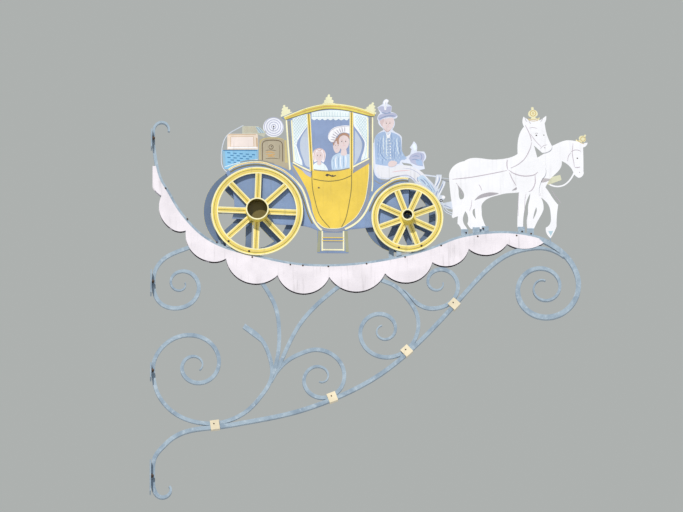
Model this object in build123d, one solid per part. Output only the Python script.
from build123d import *
import os
from math import cos, hypot, radians, sin, sqrt

# A hanging inn sign: a painted cut-out stagecoach and pair on a wrought iron wall bracket.
# Millimetres. X runs out from the wall, Y from the near face to the far face, Z up.
# The origin lies on the wall, half way between the top and the bottom wall plates.

# The sign, and the pattern it is enlarged from
SIGN_REACH = 1758.0
SIGN_RISE = 1687.0
PATTERN_REACH = 1758.0
PATTERN_RISE = 1655.0

# Sheet and bar stock
SHEET = 3.0
VALANCE_SHEET = 2.0
RAIL_THICK = 20.0
RAIL_DEPTH = 20.0
RAIL_BARE = 10.0
RAIL_AT_WALL_THICK = 11.0
RAIL_TIP_THICK = 5.0
ARM_THICK = 16.0
ARM_DEPTH = 20.0
ARM_ABOVE = 0.62
SCROLL_THICK = 15.0
SCROLL_DEPTH = 14.0
TIP_THICK = 8.0
EYE_THICK = 4.5
FEATHER_THICK = 3.0
LEAF_TIP_WIDTH = 21.0
ROD_THICK = 3.0
SEAM = 0.3

# Wall plates
WALL_PLATE_THICK = 5.0
WALL_PLATE_WIDTH = 64.0
WALL_PLATE_RISE = 700.0
BOLT_SPACING = 44.0
BOLT_HOLE_RADIUS = 5.5

# Wheels
REAR_WHEEL_X = 426.0
REAR_WHEEL_RADIUS = 184.0
REAR_RIM_WIDTH = 27.5
REAR_WHEEL_ABOVE_RAIL = -3.0
FRONT_WHEEL_X = 1027.5
FRONT_WHEEL_RADIUS = 144.0
FRONT_RIM_WIDTH = 27.0
FRONT_WHEEL_ABOVE_RAIL = 6.5
SPOKE_WIDTH = 25.0
SPOKES = 8
REAR_HUB_RADIUS = 46.0
FRONT_HUB_RADIUS = 24.0
HUB_WALL = 5.5
REAR_HUB_LENGTH = 36.0
FRONT_HUB_LENGTH = 40.0
WHEEL_OFFSET = 13.0
FAR_WHEEL_SHIFT = -30.0
FAR_WHEEL_RISE = 5.0

# Collars, lugs and hoof brackets
COLLAR_LENGTH = 36.0
COLLAR_WALL = 3.5
LUG_WIDTH = 20.0
LUG_ABOVE_SCREW = 8.0
LUG_FOOT_RISE = 5.0
LUG_FOOT_FROM_MIDDLE = 2.0
FOOT_REACH_DOWN = 14.0
BRACKET_WIDTH = 28.0
BRACKET_RISE = 24.0
HOOF_POST_WIDTH = 4.0


# Plane geometry. A point is (x, z) and a face lies in the plane of the sign.
def at(point):
    return Vector(point[0], 0, point[1])


def outline(start, *runs):
    """A closed face: each run carries on from the last, one point as a line, more as a curve."""
    edges = []
    here = start
    for run in runs:
        if len(run) == 1:
            edges.append(Line(at(here), at(run[0])))
        else:
            edges.append(Spline(at(here), *[at(point) for point in run]))
        here = run[-1]
    if hypot(here[0] - start[0], here[1] - start[1]) > 0.01:
        edges.append(Line(at(here), at(start)))
    return Face(Wire(edges))


def drawn(x, z):
    """A point of the pattern, enlarged to the sign."""
    return (x * SIGN_REACH / PATTERN_REACH, z * SIGN_RISE / PATTERN_RISE)


def drawn_line(*points):
    return [drawn(*point) for point in points]


def by_the_wall(x, *heights):
    """Points at a real distance from the wall and at heights of the pattern."""
    return [(x, drawn(0, z)[1]) for z in heights]


def drawn_outline(start, *runs):
    return outline(drawn(*start), *[drawn_line(*run) for run in runs])


def polygon(*points):
    return outline(points[0], *[[point] for point in points[1:]])


def rectangle(x_low, z_low, x_high, z_high):
    return polygon((x_low, z_low), (x_high, z_low), (x_high, z_high), (x_low, z_high))


def disc(centre, radius):
    circle = Edge.make_circle(radius, Plane(origin=at(centre), z_dir=(0, -1, 0)))
    return Face(Wire([circle]))


def slab(face, y_low, y_high):
    """The face made into a plate between two depths."""
    moved = face.moved(Location((0, y_high, 0)))
    return extrude(moved, amount=y_high - y_low, dir=(0, -1, 0))


def plate(face, middle=0.0, thick=SHEET):
    return slab(face, middle - thick / 2, middle + thick / 2)


def spiral(centre, radius, angle, end_radius, end_angle, drift=(0.0, 0.0), tuck=0.0):
    """Points on a smith's scroll, whose radius shrinks by the same share in each turn.

    Towards the eye the middle drifts by that much, and the last turn is tucked in by a share.
    """
    steps = max(4, round(abs(end_angle - angle) / 30))
    points = []
    for step in range(steps + 1):
        share = step / steps
        turn = radians(angle + (end_angle - angle) * share)
        reach = radius * (end_radius / radius) ** share * (1 - tuck * share**6)
        x = centre[0] + drift[0] * share**2 + reach * cos(turn)
        z = centre[1] + drift[1] * share**2 + reach * sin(turn)
        points.append((x, z))
    return points


# The whole of a bar, as shares of its length
WHOLE = (0.0, 1.0)


def stations(points, pitch=16.0):
    """Places along a smooth line as rows of x, z, left normal x, left normal z, share of length."""
    line = Spline(*[at(point) for point in points])
    count = max(8, round(line.length / pitch))
    rows = []
    for step in range(count + 1):
        share = step / count
        place = line @ share
        ahead = line % share
        rows.append((place.X, place.Z, -ahead.Z, ahead.X, share))
    return rows, line.length


def bar(points, thick, left=0.5, tips=(TIP_THICK, TIP_THICK), tapers=(0.0, 0.0), extra=0.0, span=WHOLE):
    """A forged bar along a line, drawn out thin towards an end that has a taper length.

    The span gives the shares of the line between which the bar is kept.
    """
    rows, length = stations(points)
    first, last = [round(share * (len(rows) - 1)) for share in span]
    sides = ([], [])
    for x, z, normal_x, normal_z, share in rows[first:last + 1]:
        width = thick
        for tip, taper, run in zip(tips, tapers, (share * length, (1 - share) * length)):
            if taper:
                width = min(width, tip + (thick - tip) * run / taper)
        up = width * left + extra
        down = width * (1 - left) + extra
        sides[0].append((x + normal_x * up, z + normal_z * up))
        sides[1].append((x - normal_x * down, z - normal_z * down))
    back = sides[1][::-1]
    return outline(sides[0][0], sides[0][1:], [back[0]], back[1:])


# Bracket lines, each with the side of the bar that the line marks
RAIL_AT_WALL = WALL_PLATE_THICK + SEAM + RAIL_AT_WALL_THICK
RAIL_LINE = (
    drawn_line((67, 720), (66, 736), (54, 750), (36, 751))
    + by_the_wall(RAIL_AT_WALL + 4, 738)
    + by_the_wall(RAIL_AT_WALL, 712, 676)
    + by_the_wall(RAIL_AT_WALL + 3, 644)
    + drawn_line((27, 596), (38, 546), (50, 515), (73, 477), (104, 421), (149, 359), (220, 291))
    + drawn_line((296, 251))
    + drawn_line((424, 216), (552, 189), (711, 179), (864, 191), (1017, 220.5), (1157, 266), (1202, 286))
    + drawn_line((1304, 311), (1407, 319), (1509, 310), (1586, 286.5), (1631, 259), (1667, 228))
    + spiral(drawn(1566.6, 86.2), 167.3, 40, 42, -643, drift=(9.0, 11.5), tuck=0.44)
)
# Shares of the rail's length between which it carries the valance and the coach
RAIL_SPAN = (0.07, 0.66)
ARM_AT_WALL = WALL_PLATE_THICK + SEAM + ARM_THICK * ARM_ABOVE
ARM_LINE = (
    drawn_line((78, -725), (82, -745), (66, -764), (42, -766))
    + by_the_wall(ARM_AT_WALL + 5, -740)
    + by_the_wall(ARM_AT_WALL, -700, -655)
    + drawn_line((22, -608), (54, -565), (91, -531), (146, -504), (260, -486), (386, -465))
    + drawn_line((558, -429), (728, -370), (862, -304), (939, -254), (1012, -195), (1118, -92))
    + drawn_line((1206, 4), (1299, 110), (1367, 178), (1435, 225), (1508, 247), (1575, 249), (1622, 233))
    + drawn_line((1652, 212))
)
SCROLL_AT_WALL = WALL_PLATE_THICK + SEAM + SCROLL_THICK / 2
UPPER_SCROLL_LINE = (
    drawn_line((210, 280), (142, 242), (55, 200))
    + by_the_wall(SCROLL_AT_WALL + 5, 147)
    + by_the_wall(SCROLL_AT_WALL, 102)
    + drawn_line((22, 45))
    + spiral(drawn(120, 95.5), 110.3, -129, 21.4, 370, drift=(4.0, 4.3), tuck=0.33)
)
LOWER_SCROLL_LINE = (
    spiral(drawn(180, -235), 166, 177, 25, -405)[::-1]
    + by_the_wall(SCROLL_AT_WALL, -262)
    + drawn_line((26, -336), (60, -393), (126, -444), (193, -465), (266, -468), (326, -452))
    + drawn_line((393, -412), (447, -351), (478, -300), (487, -258), (483, -221), (472, -182))
    + drawn_line((456, -145), (434, -115), (407, -92), (374, -72))
)
LEFT_STAY_LINE = drawn_line(
    (478, -302), (497, -248), (511, -181), (514, -72), (500, 6), (454, 93), (394, 195))
RIGHT_STAY_LINE = drawn_line(
    (484, -300), (518, -225), (556, -139), (594, -69), (644, -6), (744, 84), (850, 164))
CENTRE_SCROLL_LINE = (
    drawn_line((484, -300), (519, -240), (563, -202), (606, -181))
    + spiral(drawn(677.8, -285.9), 123.5, 101, 32.8, -447, drift=(-3.3, 7.5), tuck=0.45)
)
ARM_SCROLL_LINE = (
    drawn_line((850, 166), (888, 135), (928, 116), (973, 97))
    + spiral(drawn(924.9, -85.4), 169, 55, 25.2, -605, drift=(9.8, 0.0), tuck=0.19)
)
SMALL_SCROLL_LINE = (
    drawn_line((1009, 80), (1032, 60), (1062, 28), (1099, 7))
    + spiral(drawn(1152.2, 107.7), 106, -96, 21.4, 364, drift=(-4.0, 0.0))
)
# Collar centres, each where a scroll lies against the arm: x, z, slope of the arm
COLLARS = [(259, -476, 8), (727, -361, 21), (1024, -171, 43), (1214, 21, 48)]
# Lengths that the rail and the arm are forged from: node, shares of the whole bar at its two ends.
# The rail is butted under the valance and past its end, the arm under its collars.
RAIL_PARTS = [
    ("rail_horn", 0.0, 0.14),
    ("rail_rear", 0.14, 0.4),
    ("rail_front", 0.4, 0.66),
    ("rail_scroll", 0.66, 1.0),
]
ARM_PARTS = [
    ("arm_foot", 0.0, 0.246),
    ("arm_middle", 0.246, 0.634),
    ("arm_head", 0.634, 1.0),
]
# Wall plates: name, z of the middle, height
WALL_PLATES = [
    ("top", WALL_PLATE_RISE, 74.0),
    ("upper", drawn(0, 102)[1], 94.0),
    ("lower", drawn(0, -260)[1], 62.0),
    ("bottom", -WALL_PLATE_RISE, 130.0),
]


def rail_face(extra=0.0, span=WHOLE):
    tips, tapers = (TIP_THICK, RAIL_TIP_THICK), (520.0, 600.0)
    return bar(RAIL_LINE, RAIL_THICK, left=0.0, tips=tips, tapers=tapers, extra=extra, span=span)


def rail_top(x):
    """Height of the rail's upper edge at a place along it."""
    rows = [row for row in stations(RAIL_LINE)[0] if RAIL_SPAN[0] < row[4] < RAIL_SPAN[1]]
    low = max((row for row in rows if row[0] <= x), key=lambda row: row[0])
    high = min((row for row in rows if row[0] > x), key=lambda row: row[0])
    return low[1] + (high[1] - low[1]) * (x - low[0]) / (high[0] - low[0])


def arm_face(extra=0.0, span=WHOLE):
    tips, tapers = (TIP_THICK, FEATHER_THICK), (90.0, 150.0)
    return bar(ARM_LINE, ARM_THICK, left=ARM_ABOVE, tips=tips, tapers=tapers, extra=extra, span=span)


def scroll_face(points, tips, tapers, extra=0.0):
    return bar(points, SCROLL_THICK, tips=tips, tapers=tapers, extra=extra)


def leaf_tip():
    """The hammered-out end of the lower scroll, spread like a leaf."""
    rows = stations(LOWER_SCROLL_LINE)[0]
    tip, neck = rows[-1], rows[-7]
    sides = []
    for (x, z, normal_x, normal_z, share), width in ((tip, LEAF_TIP_WIDTH), (neck, SCROLL_THICK)):
        for side in (1, -1):
            sides.append((x + side * normal_x * width / 2, z + side * normal_z * width / 2))
    return polygon(sides[0], sides[1], sides[3], sides[2])


def wall_room():
    """The space that the wall and its plates take up."""
    reach = WALL_PLATE_RISE * 1.5
    return rectangle(-reach, -reach, WALL_PLATE_THICK + SEAM, reach)


def largest(shape):
    """The main piece of a cut face."""
    return max(shape.faces(), key=lambda face: face.area)


def clear_of(face, *others):
    for other in others:
        face = largest(face - other)
    return face


# Bracket
def make_wall_plates():
    nodes = {}
    for name, middle, height in WALL_PLATES:
        size = (WALL_PLATE_THICK, WALL_PLATE_WIDTH, height)
        solid = Pos(WALL_PLATE_THICK / 2, 0, middle) * Box(*size)
        for side in (-1, 1):
            spot = Pos(WALL_PLATE_THICK / 2, side * BOLT_SPACING / 2, middle) * Rot(0, 90, 0)
            solid -= spot * Cylinder(BOLT_HOLE_RADIUS, WALL_PLATE_THICK * 2)
        nodes["wall_plate_" + name] = solid
    return nodes


def make_bracket():
    wall = wall_room()
    rail_room = rail_face(SEAM)
    arm_room = arm_face(SEAM)
    nodes = {}
    for name, *span in RAIL_PARTS:
        face = clear_of(rail_face(span=span), wall)
        nodes[name] = slab(face, -RAIL_DEPTH / 2, RAIL_DEPTH / 2)
    for name, *span in ARM_PARTS:
        face = clear_of(arm_face(span=span), wall, rail_room)
        nodes[name] = slab(face, -ARM_DEPTH / 2, ARM_DEPTH / 2)
    # name, line, thicknesses of its two ends, lengths over which the two ends taper
    bars = [
        ("wall_scroll_upper", UPPER_SCROLL_LINE, (TIP_THICK, EYE_THICK), (0, 230)),
        ("wall_scroll_lower", LOWER_SCROLL_LINE, (EYE_THICK, TIP_THICK), (170, 0)),
        ("left_stay", LEFT_STAY_LINE, (TIP_THICK, TIP_THICK), (60, 0)),
        ("right_stay", RIGHT_STAY_LINE, (TIP_THICK, TIP_THICK), (60, 0)),
        ("centre_scroll", CENTRE_SCROLL_LINE, (TIP_THICK, EYE_THICK), (60, 230)),
        ("arm_scroll", ARM_SCROLL_LINE, (TIP_THICK, EYE_THICK), (0, 220)),
        ("small_scroll", SMALL_SCROLL_LINE, (FEATHER_THICK, EYE_THICK), (80, 160)),
    ]
    rooms = [rail_room, arm_room]
    for name, line, tips, tapers in bars:
        face = scroll_face(line, tips, tapers)
        if name == "wall_scroll_lower":
            face += leaf_tip()
        face = clear_of(face, wall, *rooms)
        rooms.append(scroll_face(line, tips, tapers, SEAM))
        nodes[name] = slab(face, -SCROLL_DEPTH / 2, SCROLL_DEPTH / 2)
    return nodes, rooms


def make_collars(rooms):
    nodes = {}
    across = ARM_THICK + SCROLL_THICK + 2 * COLLAR_WALL
    for number, (drawn_x, drawn_z, slope) in enumerate(COLLARS, start=1):
        x, z = drawn(drawn_x, drawn_z)
        block = Rectangle(COLLAR_LENGTH, across).face()
        along = (cos(radians(slope)), 0, sin(radians(slope)))
        block = Plane(origin=(x, 0, z), x_dir=along, z_dir=(0, -1, 0)) * block
        sides = block
        for room in rooms[1:]:
            sides = sides - room
        inner = ARM_DEPTH / 2 + SEAM
        outer = inner + COLLAR_WALL
        solid = slab(block, -outer, -inner) + slab(block, inner, outer)
        for side in sides.faces():
            if side.area > COLLAR_WALL * COLLAR_WALL:
                solid += slab(side, -outer, outer)
        nodes[f"collar_{number}"] = solid
    return nodes


# Scalloped valance: cusps along the lower edge with the lowest point of the bow before each
VALANCE_FOOT = 492
VALANCE_TIP = 12.0
VALANCE_FROM_PLATES = 2.0
SCALLOPS = [
    ((24, 469), (43, 454)),
    ((34, 397), (82, 322)),
    ((107, 310), (141, 313)),
    ((145, 266), (229, 190)),
    ((261, 186), (302, 200)),
    ((406, 99), (508, 133)),
    ((612, 59), (715, 127)),
    ((824, 68), (938, 143)),
    ((1022, 106), (1127, 190)),
    ((1192, 174), (1273, 245)),
    ((1352, 221), (1427, 266)),
    ((1497, 246), (1572, 271)),
]


def valance_face():
    rows = [row for row in stations(RAIL_LINE)[0] if RAIL_SPAN[0] < row[4] < RAIL_SPAN[1]]
    end = drawn(*SCALLOPS[-1][1])[0] - VALANCE_TIP
    top = [(x - nx * RAIL_BARE, z - nz * RAIL_BARE) for x, z, nx, nz, share in rows if x < end]
    edges = [Spline(*[at(point) for point in top])]
    here = (WALL_PLATE_THICK + VALANCE_FROM_PLATES, drawn(0, VALANCE_FOOT)[1])
    corner = (here[0], top[0][1])
    edges.append(Line(at(top[0]), at(corner)))
    edges.append(Line(at(corner), at(here)))
    for bow, cusp in SCALLOPS:
        edges.append(ThreePointArc(at(here), at(drawn(*bow)), at(drawn(*cusp))))
        here = drawn(*cusp)
    edges.append(Line(at(here), at(top[-1])))
    return Face(Wire(edges))


def make_valances():
    face = valance_face()
    near = -RAIL_DEPTH / 2
    return {
        "valance_near": slab(face, near - VALANCE_SHEET, near),
        "valance_far": slab(face, -near, -near + VALANCE_SHEET),
    }


# Wheels and hubs. Spokes are set a little round from upright.
SPOKE_LEAN = -2.0


def wheel_face(centre, radius, rim, hub, bore, first):
    face = disc(centre, radius) - disc(centre, radius - rim)
    for spoke in range(SPOKES):
        turn = radians(first + SPOKE_LEAN + spoke * 360 / SPOKES)
        reach = radius - rim / 2
        along = (cos(turn), sin(turn))
        across = (-sin(turn) * SPOKE_WIDTH / 2, cos(turn) * SPOKE_WIDTH / 2)
        tip = (centre[0] + along[0] * reach, centre[1] + along[1] * reach)
        face += polygon(
            (centre[0] + across[0], centre[1] + across[1]),
            (centre[0] - across[0], centre[1] - across[1]),
            (tip[0] - across[0], tip[1] - across[1]),
            (tip[0] + across[0], tip[1] + across[1]),
        )
    face += disc(centre, hub)
    if bore:
        face -= disc(centre, bore)
    return face


# Wheels: name, x, radius, rim width, hub radius, bore, first spoke, hub length, foot above the rail
WHEELS = [
    ("rear", REAR_WHEEL_X, REAR_WHEEL_RADIUS, REAR_RIM_WIDTH, REAR_HUB_RADIUS, 0.0, 0.0,
     REAR_HUB_LENGTH, REAR_WHEEL_ABOVE_RAIL),
    ("front", FRONT_WHEEL_X, FRONT_WHEEL_RADIUS, FRONT_RIM_WIDTH, FRONT_HUB_RADIUS,
     FRONT_HUB_RADIUS - HUB_WALL, 22.5, FRONT_HUB_LENGTH, FRONT_WHEEL_ABOVE_RAIL),
]


def wheel_centre(x, radius, above, side):
    """Middle of a near (-1) or far (1) wheel that stands on the rail."""
    middle = drawn(x, 0)[0]
    height = rail_top(middle) + above + radius
    return (middle + FAR_WHEEL_SHIFT, height + FAR_WHEEL_RISE) if side > 0 else (middle, height)


def make_wheels():
    nodes = {}
    for name, x, radius, rim, hub, bore, first, length, above in WHEELS:
        for side, label in ((-1, "near"), (1, "far")):
            centre = wheel_centre(x, radius, above, side)
            inner = side * WHEEL_OFFSET
            outer = side * (WHEEL_OFFSET + SHEET)
            end = outer + side * length
            wheel = wheel_face(centre, radius, rim, hub, bore, first)
            ring = disc(centre, hub) - disc(centre, hub - HUB_WALL)
            nodes[f"{name}_wheel_{label}"] = slab(wheel, min(inner, outer), max(inner, outer))
            nodes[f"{name}_hub_{label}"] = slab(ring, min(outer, end), max(outer, end))
            spacer = disc(centre, FRONT_HUB_RADIUS) - disc(centre, FRONT_HUB_RADIUS - HUB_WALL)
            face = side * SHEET / 2
            nodes[f"{name}_spacer_{label}"] = slab(spacer, min(face, inner), max(face, inner))
    return nodes


# Lugs that hold the rims to the rail: wheel, distance along the rail from the wheel's middle
LUGS = [(0, -114), (0, -32), (1, -34), (1, 56)]


def make_lugs(rail_room):
    nodes = {}
    for side, label in ((-1, "near"), (1, "far")):
        lugs = []
        for wheel, offset in LUGS:
            name, x, radius, rim, hub, bore, first, length, above = WHEELS[wheel]
            centre = wheel_centre(x, radius, above, side)
            middle = centre[0] + offset
            screw = centre[1] - sqrt((radius - rim / 2) ** 2 - offset ** 2)
            foot = rail_top(middle)
            low, high = middle - LUG_WIDTH / 2, middle + LUG_WIDTH / 2
            top = screw + LUG_ABOVE_SCREW
            upright = largest(rectangle(low, foot - FOOT_REACH_DOWN, high, top) - rail_room)
            rest = rectangle(low, foot - FOOT_REACH_DOWN, high, foot + LUG_FOOT_RISE)
            base = largest(rest - rail_room)
            edge = RAIL_DEPTH / 2
            lug = slab(upright, edge, WHEEL_OFFSET) + slab(base, LUG_FOOT_FROM_MIDDLE, edge)
            lugs.append(lug if side > 0 else mirror(lug, about=Plane.XZ))
        nodes["wheel_lugs_" + label] = Compound(lugs)
    return nodes


# Coach. Openings of the hanging step: its sides, then the foot and head of each opening.
STEP_SIDES = (689, 770)
STEP_OPENINGS = [(244, 272), (290, 311)]


def coach_face():
    face = drawn_outline(
        (523, 780),
        [(613, 819), (713, 838), (813, 824), (903, 792)],
        [(891, 786)],
        [(891, 576)],
        [(901, 543), (929, 524), (961, 526), (989, 534), (1032, 537)],
        [(1034, 520)],
        [(1033, 379)],
        [(1013, 351), (965, 336), (885, 333)],
        [(797, 324)],
        [(786, 318)],
        [(792, 227)],
        [(668, 227)],
        [(667, 319)],
        [(610, 337), (517, 342), (445, 351), (381, 362), (325, 364)],
        [(335, 424), (326, 482), (301, 552)],
        [(309, 563)],
        [(365, 588), (426, 595), (493, 588), (559, 560)],
        [(539, 770)],
    )
    for low, high in STEP_OPENINGS:
        face -= rectangle(*drawn(STEP_SIDES[0], low), *drawn(STEP_SIDES[1], high))
    return face


def finial(x, z, lean):
    """A small turned finial standing on the roof edge."""
    base = outline(
        (-25, 0), [(25, 0)], [(24, 8)], [(17, 10), (19, 16), (15, 21)], [(11, 23), (13, 28), (8, 33)],
        [(4, 35), (5, 39), (0, 44)], [(-5, 39), (-4, 35)], [(-8, 33)], [(-13, 28), (-11, 23)],
        [(-15, 21)], [(-19, 16), (-17, 10)], [(-24, 8)],
    )
    turned = base.rotate(Axis.Y, lean)
    place = drawn(x, z)
    return turned.moved(Location((place[0], 0, place[1])))


# Roof finials: x, z of the foot, lean to the right in degrees
FINIALS = [(545, 790, -17), (713, 833, 0), (878, 803, 17)]
HAT_BOX_RADIUS = 41.0


def luggage_faces(coach):
    """Luggage pieces in the order they are stacked, each cut back to what it rests on."""
    pieces = {
        "trunk_blue": drawn_outline((286, 645), [(430, 648)], [(430, 588)], [(330, 564)], [(294, 569)]),
        "trunk_brown": drawn_outline(
            (434, 558), [(434, 689)], [(458, 696), (486, 699), (514, 694), (540, 684)], [(554, 558)],
        ),
        "case_cream": drawn_outline(
            (306, 648), [(306, 706)], [(312, 712)], [(424, 713)], [(429, 708)], [(430, 648)]),
        "case_olive": drawn_outline(
            (366, 709), [(366, 744)], [(430, 744)], [(462, 721)], [(454, 699)], [(428, 709)]),
        "hat_box": disc(drawn(491, 740), HAT_BOX_RADIUS),
    }
    placed = {}
    for name, face in pieces.items():
        placed[name] = clear_of(face, coach, *placed.values())
    return placed


LUGGAGE_ROD_LINE = drawn_line(
    (309, 554), (287, 578), (282, 612), (285, 652), (306, 706), (338, 729), (370, 747))


def coachman_face(coach):
    face = drawn_outline(
        (884, 672),
        [(895, 680)],
        [(896, 692), (900, 703), (913, 719), (930, 730)],
        [(933, 735)],
        [(922, 745), (913, 756), (912, 769)],
        [(908, 774), (909, 787), (919, 800)],
        [(908, 824)],
        [(925, 835)],
        [(930, 838)],
        [(931, 848), (943, 858), (954, 850)],
        [(948, 838)],
        [(954, 836)],
        [(966, 829)],
        [(963, 804)],
        [(982, 798), (988, 790), (973, 777)],
        [(978, 757), (968, 735)],
        [(982, 722), (1000, 711), (1006, 699)],
        [(1006, 664)],
        [(1021, 623), (1039, 633)],
        [(1045, 654)],
        [(1038, 660)],
        [(1048, 675)],
        [(1054, 686)],
        [(1065, 672), (1067, 654)],
        [(1066, 645)],
        [(1095, 644)],
        [(1103, 620), (1092, 602)],
        [(1098, 573)],
        [(1076, 568)],
        [(1100, 545), (1130, 514)],
        [(1146, 484)],
        [(1126, 473)],
        [(1104, 491), (1076, 505)],
        [(1058, 513)],
        [(1050, 527), (1034, 536)],
        [(1020, 520)],
        [(890, 536)],
    )
    face -= drawn_outline(
        (1007, 600), [(1024, 596), (1040, 593), (1049, 582)], [(1030, 586), (1012, 590), (1007, 600)])
    return clear_of(face, coach)


TRACE_LINES = [
    drawn_line((1180, 418), (1186, 404), (1199, 397), (1216, 391)),
    drawn_line((1172, 424), (1174, 406), (1189, 393), (1216, 380)),
]


def footboard_face(room):
    """Two slanting irons, the step plate, the stub of the pole and the thin trace rods below it."""
    face = drawn_outline(
        (1144, 550), [(1165, 550)], [(1163, 530), (1154, 504), (1151, 488)], [(1150, 470)], [(1116, 480)],
        [(1133, 500), (1140, 524), (1144, 550)])
    face += drawn_outline(
        (1170, 527), [(1181, 521)], [(1180, 514), (1170, 490), (1159, 465)], [(1167, 466)],
        [(1176, 461), (1177, 453), (1171, 447)], [(1167, 440)], [(1172, 434)], [(1208, 442)], [(1208, 408)],
        [(1176, 414)], [(1150, 442)], [(1130, 472)], [(1145, 486)], [(1154, 492), (1166, 515), (1170, 527)])
    for line in TRACE_LINES:
        face += bar(line, ROD_THICK)
    return clear_of(face, *room)


# Horses
def near_horse_face():
    face = drawn_outline(
        (1195, 540),
        [(1202, 570), (1229, 596), (1256, 605)],
        [(1287, 618), (1317, 618), (1358, 613), (1409, 615), (1445, 623), (1470, 636)],
        [(1470, 674), (1478, 717), (1496, 748)],
        [(1490, 766), (1494, 789)],
        [(1516, 774)],
        [(1538, 778), (1560, 774)],
        [(1585, 793)],
        [(1585, 778), (1579, 763)],
        [(1585, 727), (1595, 696), (1608, 670)],
        [(1603, 654), (1589, 645), (1569, 641)],
        [(1536, 671)],
        [(1549, 622)],
        [(1573, 600), (1584, 566), (1569, 536)],
        [(1557, 501), (1556, 466)],
        [(1565, 454), (1573, 428), (1573, 409)],
        [(1567, 394), (1552, 367), (1539, 341), (1532, 326)],
        [(1508, 329)],
        [(1506, 349), (1506, 367), (1511, 394), (1511, 420), (1516, 445), (1520, 474)],
        [(1506, 445), (1499, 420), (1493, 383), (1491, 335)],
        [(1493, 326)],
        [(1468, 337)],
        [(1469, 383), (1472, 433), (1475, 479)],
        [(1458, 477), (1421, 474), (1392, 467), (1362, 458), (1344, 449)],
        [(1333, 439), (1325, 425), (1325, 406), (1326, 383), (1331, 365), (1338, 346), (1352, 328)],
        [(1283, 328)],
        [(1274, 338), (1268, 350)],
        [(1271, 361), (1270, 380), (1260, 401)],
        [(1254, 387), (1250, 369), (1252, 354), (1261, 338), (1270, 322)],
        [(1243, 320)],
        [(1237, 340), (1228, 350)],
        [(1229, 365), (1230, 380)],
        [(1218, 376)],
        [(1209, 373), (1206, 380)],
        [(1209, 399), (1204, 444), (1199, 486), (1195, 540)],
    )
    face -= drawn_outline((1222, 516), [(1232, 505), (1246, 488), (1255, 467), (1252, 453), (1239, 449)],
                          [(1234, 465), (1233, 484), (1222, 516)])
    face -= drawn_outline((1298, 412), [(1290, 405), (1289, 393), (1294, 380), (1302, 369)],
                          [(1299, 390), (1298, 412)])
    face -= drawn_outline((1544, 419), [(1537, 400), (1531, 368)], [(1542, 390), (1546, 410), (1544, 419)])
    return face


def far_horse_face():
    face = drawn_outline(
        (1608, 670),
        [(1628, 680), (1662, 693), (1702, 691), (1732, 682)],
        [(1751, 685)],
        [(1747, 674), (1733, 665)],
        [(1734, 607), (1734, 567)],
        [(1730, 549), (1716, 541), (1702, 549), (1698, 553)],
        [(1687, 577)],
        [(1661, 602), (1647, 609)],
        [(1638, 574), (1612, 547), (1592, 522)],
        [(1581, 501)],
        [(1592, 486), (1608, 461), (1632, 430)],
        [(1627, 390), (1625, 341)],
        [(1619, 326), (1601, 293)],
        [(1584, 316), (1582, 336)],
        [(1599, 352), (1602, 390), (1595, 425), (1573, 452), (1554, 465)],
        [(1500, 500), (1430, 500), (1345, 490)],
        [(1320, 440), (1318, 390)],
        [(1326, 350)],
        [(1308, 345)],
        [(1306, 400), (1290, 440)],
        [(1270, 500)],
        [(1240, 540), (1246, 580)],
        [(1290, 600), (1400, 600), (1475, 612)],
        [(1549, 622)],
        [(1567, 633)],
        [(1589, 649), (1608, 670)],
    )
    return face


def crown_face(x, z, lean, size):
    """A small plume holder in the shape of a crown."""
    shape = outline(
        (-24, -4), [(0, -10), (24, -2)], [(26, 8)], [(10, 6), (8, 12)],
        [(20, 22), (16, 36), (5, 42)], [(4, 54), (-4, 54)], [(-5, 42)],
        [(-16, 36), (-20, 22), (-8, 12)], [(-12, 5), (-26, 4)],
    )
    place = drawn(x, z)
    return scale(shape, size).rotate(Axis.Y, lean).moved(Location((place[0], 0, place[1])))


# Plume crowns: name, x, z, lean, size
CROWNS = [("near", 1535, 777, -7, 0.96), ("far", 1719, 685, 36, 0.74)]
# Hoof brackets: label, x along the rail
HOOVES = [("near", 1257), ("near", 1303), ("near", 1339), ("near", 1484), ("near", 1520), ("far", 1320)]
# Raised hooves, each steadied by a thin post: x along the rail
RAISED_HOOVES = [1600]


def make_hoof_brackets(rail_room):
    nodes = {}
    for label, side in (("near", -1), ("far", 1)):
        brackets = []
        for mark, drawn_x in HOOVES:
            if mark != label:
                continue
            x = drawn(drawn_x, 0)[0]
            foot = rail_top(x)
            low, high = x - BRACKET_WIDTH / 2, x + BRACKET_WIDTH / 2
            bottom = foot - FOOT_REACH_DOWN
            upright = largest(rectangle(low, bottom, high, foot + BRACKET_RISE) - rail_room)
            base = largest(rectangle(low, bottom, high, foot + LUG_FOOT_RISE) - rail_room)
            bracket = slab(upright, SHEET, SHEET * 2) + slab(base, SHEET, RAIL_DEPTH / 2)
            brackets.append(bracket if side > 0 else mirror(bracket, about=Plane.XZ))
        nodes["hoof_brackets_" + label] = Compound(brackets)
    return nodes


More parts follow.
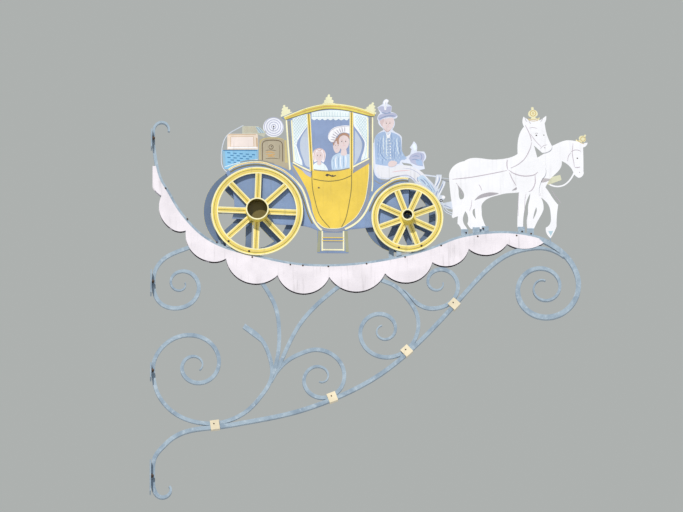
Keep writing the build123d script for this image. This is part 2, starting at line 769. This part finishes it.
def make_hoof_post(rail_room, far):
    """The thin post that steadies a raised hoof on the rail."""
    posts = []
    for drawn_x in RAISED_HOOVES:
        x = drawn(drawn_x, 0)[0]
        foot = rail_top(x)
        low, high = x - HOOF_POST_WIDTH / 2, x + HOOF_POST_WIDTH / 2
        post = rectangle(low, foot - FOOT_REACH_DOWN, high, foot + BRACKET_RISE)
        pieces = (post - rail_room - far).faces()
        lowest = min(pieces, key=lambda face: face.center().Z)
        posts.append(slab(lowest, 0.0, SHEET))
    return Compound(posts)


def make_figures(rail_room):
    coach = coach_face()
    nodes = {"coach_plate": plate(coach)}
    finials = [plate(clear_of(finial(*spot), coach)) for spot in FINIALS]
    nodes["roof_finials"] = Compound(finials)
    luggage = luggage_faces(coach)
    for name, face in luggage.items():
        nodes[name] = plate(face)
    rod = bar(LUGGAGE_ROD_LINE, ROD_THICK)
    nodes["luggage_rod"] = plate(clear_of(rod, coach, *luggage.values()))
    coachman = coachman_face(coach)
    nodes["coachman"] = plate(coachman)
    near = near_horse_face()
    far = far_horse_face()
    nodes["horse_near"] = slab(near, -SHEET, 0)
    nodes["horse_far"] = slab(far, 0, SHEET)
    board = footboard_face((coachman, near, far))
    nodes["footboard"] = plate(board)
    reins = bar(drawn_line((1096, 548), (1150, 541), (1200, 533)), ROD_THICK * 2)
    nodes["reins"] = plate(clear_of(reins, coachman, board, near, far))
    tip = drawn_outline((1570, 530), [(1618, 546)], [(1641, 552)], [(1646, 531)], [(1592, 511)])
    nodes["pole_tip"] = plate(clear_of(tip, near, far))
    loop = bar(drawn_line((1592, 517), (1620, 505), (1650, 508), (1680, 532), (1696, 560)), ROD_THICK * 2)
    nodes["rein_loop"] = plate(clear_of(loop, near, far, tip))
    nodes["hoof_post"] = make_hoof_post(rail_room, far)
    for name, x, z, lean, size in CROWNS:
        host = near if name == "near" else far
        low = -SHEET if name == "near" else 0.0
        crown = clear_of(crown_face(x, z, lean, size), host)
        nodes["crown_" + name] = slab(crown, low, low + SHEET)
    return nodes


def main():
    os.makedirs("parts", exist_ok=True)
    bracket, rooms = make_bracket()
    rail_room = rooms[0]
    nodes = {}
    nodes.update(make_wall_plates())
    nodes.update(bracket)
    nodes.update(make_collars(rooms))
    nodes.update(make_valances())
    nodes.update(make_wheels())
    nodes.update(make_lugs(rail_room))
    nodes.update(make_figures(rail_room))
    nodes.update(make_hoof_brackets(rail_room))
    for name, shape in nodes.items():
        export_step(shape, f"parts/{name}.step")


main()
